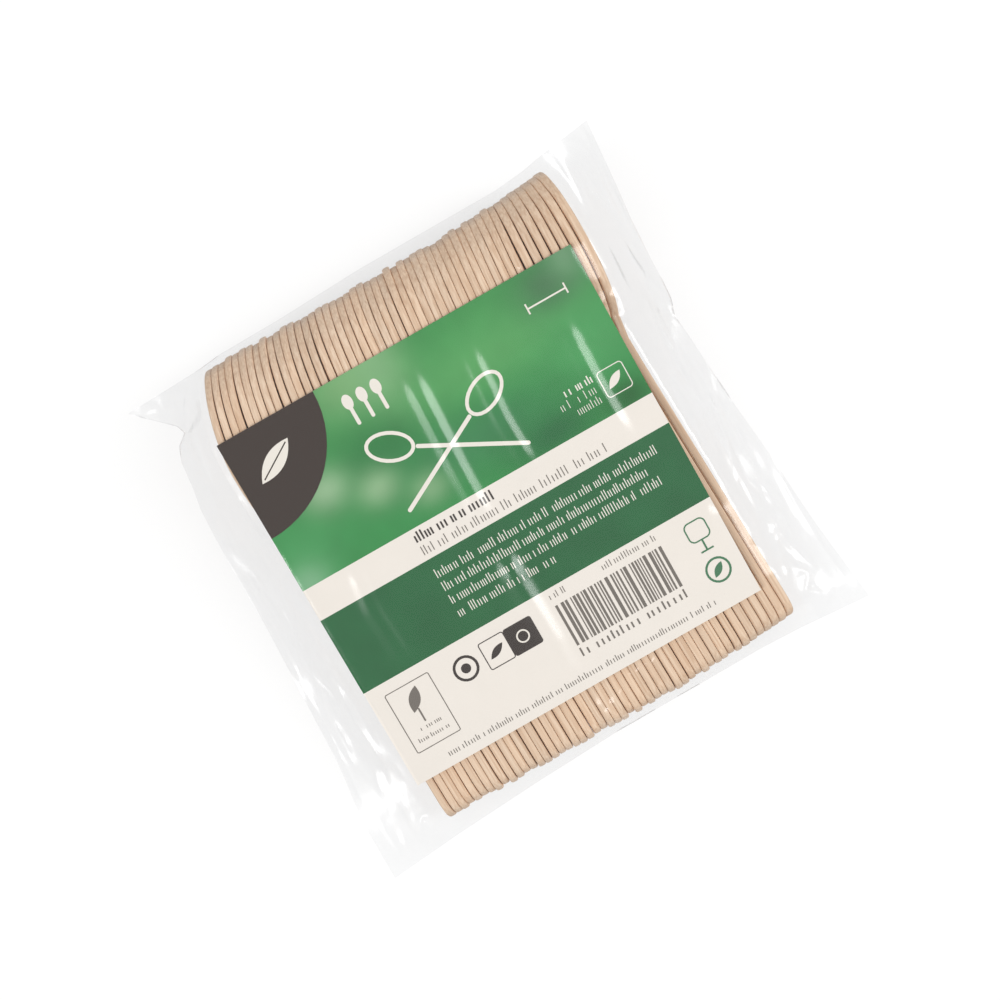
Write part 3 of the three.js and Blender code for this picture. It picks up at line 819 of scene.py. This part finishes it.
for line, height, width in (
    # right flap: the pucker beside the bowls and what fans out from it, then long lines to the handle ends
    ([(41.0, 22.5), (41.5, 19.5)], 0.9, 0.9),
    ([(49.4, 29.6), (51.2, 27.4), (53.0, 25.0)], 0.9, 0.9),
    ([(54.6, 47.5), (54.8, 39.5)], 0.6, 0.8),
    ([(49.6, 22.0), (49.1, 19.0), (49.4, 15.6)], 1.1, 1.0),
    ([(53.6, 20.2), (54.8, 18.4), (54.2, 16.4)], 0.9, 0.8),
    ([(48.6, 6.6), (48.2, 1.0)], 0.7, 0.8),
    ([(48.5, 0.5), (48.0, -12.0), (48.4, -24.0), (48.2, -34.0)], 0.6, 0.8),
    ([(50.6, -32.5), (50.1, -36.0), (50.7, -39.0)], 1.1, 1.2),
    ([(48.4, -43.5), (51.6, -47.5), (48.9, -50.5), (52.8, -54.0), (50.8, -57.0)], 0.8, 0.8),
    ([(55.6, 56.0), (55.0, 30.0)], 0.4, 0.8),
    ([(56.6, -20.0), (57.4, -44.0), (58.4, -56.0)], 0.5, 0.8),
    ([(44.6, 44.0), (47.5, 50.0), (51.5, 57.0)], 0.35, 1.1),
    # left flap: the line of the seal, long soft creases, and the twisted corner
    ([(-49.6, -16.5), (-50.4, -27.0), (-49.4, -40.5)], 0.9, 1.0),
    ([(-56.4, 30.0), (-56.8, -10.0), (-58.6, -52.0)], 0.35, 0.7),
    ([(-54.6, 26.0), (-55.2, -12.0), (-56.4, -44.0)], 0.30, 0.8),
    ([(-53.0, -42.0), (-50.5, -49.0), (-52.0, -57.0)], 0.45, 0.9),
    ([(-48.4, -52.5), (-47.0, -57.0)], 1.0, 1.0),
    ([(-56.0, 44.0), (-50.0, 48.0), (-46.0, 53.5)], 1.2, 1.1),
    ([(-53.0, 46.5), (-56.0, 50.0), (-60.0, 55.5)], 1.0, 0.8),
    ([(-52.0, 46.0), (-51.2, 38.0), (-51.5, 28.0)], 0.9, 0.9),
    ([(-47.2, 38.5), (-47.0, 24.0), (-47.3, 9.0)], 0.8, 0.9),
):
    crease(upper, line, height, width)
for line, height, width in (
    # over the card: the long fold that ends in a loop over the handle ends, soft ones beside it, and the
    # bulges at the card's right edge
    ([(-4.4, -6.0), (-4.8, -18.5), (-4.3, -33.0), (-4.9, -44.0), (-3.6, -50.0)], 1.25, 2.5),
    ([(-3.8, -46.0), (-3.0, -52.0), (0.2, -54.6), (1.8, -50.0), (0.8, -47.0)], 1.0, 1.8),
    ([(-4.2, 44.0), (-4.3, 38.5)], 0.7, 1.4),
    ([(27.0, 44.0), (27.3, 39.0)], 0.7, 1.4),
    ([(7.4, -46.0), (7.6, -51.0)], 0.7, 1.4),
    ([(11.6, -45.6), (11.3, -52.0)], 0.7, 1.4),
    ([(-2.8, 39.0), (-4.0, 10.0), (-4.4, -12.0)], 0.92, 2.3),
    ([(10.4, 36.0), (9.2, 14.0), (9.8, -4.0)], 0.70, 2.1),
    ([(30.4, 30.0), (30.0, 12.0), (30.8, -8.0)], 0.66, 2.1),
    ([(-33.0, 6.0), (-34.6, -8.0), (-33.6, -26.0)], 0.68, 2.1),
    ([(43.4, 42.5), (43.1, 36.0), (43.6, 27.0)], 2.1, 3.0),
    ([(42.6, 30.5), (41.6, 26.0), (41.0, 23.0)], 0.8, 1.5),
    ([(41.2, -18.5), (41.0, -32.0), (41.6, -44.5), (44.0, -50.5)], 1.5, 2.6),
):
    crease(upper, line, height, width, soft=True)

# Small creases scattered over both flaps, most of them along the spoons
flap_creases = 24
for side, near, far in ((-1, -49.0, -57.0), (1, 46.0, 56.0)):
    for k in range(flap_creases):
        x = near + (far - near) * scatter(k, 91 + side)
        y = -54 + 106 * scatter(k, 93 + side)
        lean = 0.7 * (scatter(k, 95 + side) - 0.5)
        reach = 2.5 + 6 * scatter(k, 97 + side)
        bend = scatter(k, 99 + side) - 0.5
        line = [(x - lean * reach, y - reach), (x + bend, y), (x + lean * reach, y + reach)]
        height = 0.15 + 0.40 * scatter(k, 101 + side)
        width = 0.5 + 0.4 * scatter(k, 103 + side)
        crease(upper, line, height, width)

lower[:, :, 2] = np.minimum(lower[:, :, 2], upper[:, :, 2])
lower[0], lower[-1] = upper[0], upper[-1]
lower[:, 0], lower[:, -1] = upper[:, 0], upper[:, -1]


def film_sheet(name, corners):
    """One sheet of the film from a flat grid."""
    bpy.ops.object.select_all(action="DESELECT")
    bpy.ops.mesh.primitive_grid_add(x_subdivisions=columns, y_subdivisions=film_rows, size=1)
    sheet = bpy.context.object
    sheet.name = name
    flat = np.empty(len(sheet.data.vertices) * 3)
    sheet.data.vertices.foreach_get("co", flat)
    flat = flat.reshape(-1, 3)
    column = np.rint((flat[:, 0] + 0.5) * columns).astype(int)
    row = np.rint((flat[:, 1] + 0.5) * film_rows).astype(int)
    sheet.data.vertices.foreach_set("co", corners[column, row].ravel())
    sheet.data.attributes.new("slack", "FLOAT", "POINT").data.foreach_set("value", slack[column, row])
    return sheet


under = film_sheet("film_under", lower)
bpy.ops.object.mode_set(mode="EDIT")
bpy.ops.mesh.select_all(action="SELECT")
bpy.ops.mesh.flip_normals()
bpy.ops.object.mode_set(mode="OBJECT")
bag = film_sheet("film_bag_clear", upper)
under.select_set(True)
bag.select_set(True)
bpy.context.view_layer.objects.active = bag
bpy.ops.object.join()
bpy.ops.object.mode_set(mode="EDIT")
bpy.ops.mesh.select_all(action="SELECT")
bpy.ops.mesh.remove_doubles(threshold=0.000001)
bpy.ops.object.mode_set(mode="OBJECT")
bpy.ops.object.shade_smooth_by_angle(angle=math.radians(75))


def film_material():
    """Thin clear film: a slight grey, more of it where it turns away, crinkled where it is slack."""
    clear = bpy.data.materials.new("clear_film")
    clear.use_nodes = True
    nodes, links = clear.node_tree.nodes, clear.node_tree.links
    nodes.clear()
    through = nodes.new("ShaderNodeBsdfTransparent")
    through.inputs["Color"].default_value = (0.983, 0.984, 0.985, 1)
    edgewise = nodes.new("ShaderNodeBsdfTransparent")
    edgewise.inputs["Color"].default_value = (0.80, 0.805, 0.81, 1)
    facing = nodes.new("ShaderNodeLayerWeight")
    facing.inputs["Blend"].default_value = 0.22
    turned = nodes.new("ShaderNodeMixShader")
    links.new(facing.outputs["Facing"], turned.inputs["Fac"])
    links.new(through.outputs["BSDF"], turned.inputs[1])
    links.new(edgewise.outputs["BSDF"], turned.inputs[2])
    gloss = nodes.new("ShaderNodeBsdfGlossy")
    gloss.inputs["Color"].default_value = (1, 1, 1, 1)
    gloss.inputs["Roughness"].default_value = 0.19
    shine = nodes.new("ShaderNodeFresnel")
    shine.inputs["IOR"].default_value = 1.5
    place = nodes.new("ShaderNodeTexCoord")
    crinkles = nodes.new("ShaderNodeTexNoise")
    crinkles.noise_type = "RIDGED_MULTIFRACTAL"
    crinkles.inputs["Scale"].default_value = 1.0
    crinkles.inputs["Detail"].default_value = 2
    crinkles.inputs["Distortion"].default_value = 0.5
    drawn = nodes.new("ShaderNodeMapping")
    drawn.inputs["Rotation"].default_value = (0, 0, 0.12)
    drawn.inputs["Scale"].default_value = (230, 52, 110)
    links.new(place.outputs["Object"], drawn.inputs["Vector"])
    links.new(drawn.outputs["Vector"], crinkles.inputs["Vector"])
    loose = nodes.new("ShaderNodeAttribute")
    loose.attribute_name = "slack"
    bump = nodes.new("ShaderNodeBump")
    bump.inputs["Distance"].default_value = 0.0009
    links.new(loose.outputs["Fac"], bump.inputs["Strength"])
    links.new(crinkles.outputs["Fac"], bump.inputs["Height"])
    for turned_by in (facing, gloss, shine):
        links.new(bump.outputs["Normal"], turned_by.inputs["Normal"])
    film = nodes.new("ShaderNodeMixShader")
    at_most = nodes.new("ShaderNodeMath")
    at_most.operation = "MINIMUM"
    at_most.inputs[1].default_value = 0.35
    links.new(shine.outputs["Fac"], at_most.inputs[0])
    links.new(at_most.outputs["Value"], film.inputs["Fac"])
    links.new(turned.outputs["Shader"], film.inputs[1])
    links.new(gloss.outputs["BSDF"], film.inputs[2])
    unlit = nodes.new("ShaderNodeBsdfTransparent")
    unlit.inputs["Color"].default_value = (0.985, 0.985, 0.985, 1)
    path = nodes.new("ShaderNodeLightPath")
    lets_light_by = nodes.new("ShaderNodeMath")
    lets_light_by.operation = "MAXIMUM"
    links.new(path.outputs["Is Shadow Ray"], lets_light_by.inputs[0])
    links.new(path.outputs["Is Diffuse Ray"], lets_light_by.inputs[1])
    whole = nodes.new("ShaderNodeMixShader")
    links.new(lets_light_by.outputs["Value"], whole.inputs["Fac"])
    links.new(film.outputs["Shader"], whole.inputs[1])
    links.new(unlit.outputs["BSDF"], whole.inputs[2])
    surface = nodes.new("ShaderNodeOutputMaterial")
    links.new(whole.outputs["Shader"], surface.inputs["Surface"])
    return clear


bag.data.materials.clear()
bag.data.materials.append(film_material())
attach(bag, "root")
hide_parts("film_bag")


# Floor and light: a white table under a white sky, with soft boxes at the sides.
floor_half = 1.5
bpy.ops.object.select_all(action="DESELECT")
bpy.ops.mesh.primitive_plane_add(size=2 * floor_half, location=(0, 0, -0.00005))
floor = bpy.context.object
floor.name = "floor"

floor_paint = bpy.data.materials.new("floor_white")
floor_paint.use_nodes = True
nodes, links = floor_paint.node_tree.nodes, floor_paint.node_tree.links
nodes.clear()
paint = nodes.new("ShaderNodeBsdfDiffuse")
paint.inputs["Color"].default_value = (0.30, 0.30, 0.30, 1)
glow = nodes.new("ShaderNodeEmission")
glow.inputs["Color"].default_value = (1, 1, 1, 1)
path = nodes.new("ShaderNodeLightPath")
seen = nodes.new("ShaderNodeMath")
seen.operation = "MAXIMUM"
seen_too = nodes.new("ShaderNodeMath")
seen_too.operation = "MAXIMUM"
links.new(path.outputs["Is Camera Ray"], seen.inputs[0])
links.new(path.outputs["Is Glossy Ray"], seen.inputs[1])
links.new(seen.outputs["Value"], seen_too.inputs[0])
links.new(path.outputs["Is Transmission Ray"], seen_too.inputs[1])
lift = nodes.new("ShaderNodeMath")
lift.operation = "MULTIPLY"
lift.inputs[1].default_value = 0.715
links.new(seen_too.outputs["Value"], lift.inputs[0])
links.new(lift.outputs["Value"], glow.inputs["Strength"])
both = nodes.new("ShaderNodeAddShader")
links.new(paint.outputs["BSDF"], both.inputs[0])
links.new(glow.outputs["Emission"], both.inputs[1])
surface = nodes.new("ShaderNodeOutputMaterial")
links.new(both.outputs["Shader"], surface.inputs["Surface"])
floor.data.materials.append(floor_paint)

world = bpy.data.worlds.new("white_room")
scene.world = world
world.use_nodes = True
nodes, links = world.node_tree.nodes, world.node_tree.links
background = nodes["Background"]
background.inputs["Color"].default_value = (1, 1, 1, 1)
path = nodes.new("ShaderNodeLightPath")
strength = nodes.new("ShaderNodeMix")
strength.inputs["A"].default_value = 0.62
strength.inputs["B"].default_value = 1.0
links.new(path.outputs["Is Camera Ray"], strength.inputs["Factor"])
links.new(strength.outputs["Result"], background.inputs["Strength"])


def soft_box(name, place, size, power):
    """A rectangular lamp that faces the middle of the pack."""
    lamp = bpy.data.lights.new(name, "AREA")
    lamp.shape = "RECTANGLE"
    lamp.size, lamp.size_y = size
    lamp.energy = power
    box = bpy.data.objects.new(name, lamp)
    box.location = place
    box.rotation_euler = (-Vector(place)).to_track_quat("-Z", "Y").to_euler()
    bpy.context.collection.objects.link(box)
    return box


soft_box("box_right", (0.75, -0.22, 0.75), (0.24, 0.7), 4.7)
soft_box("box_left", (-0.80, -0.10, 0.75), (0.24, 0.7), 3.6)
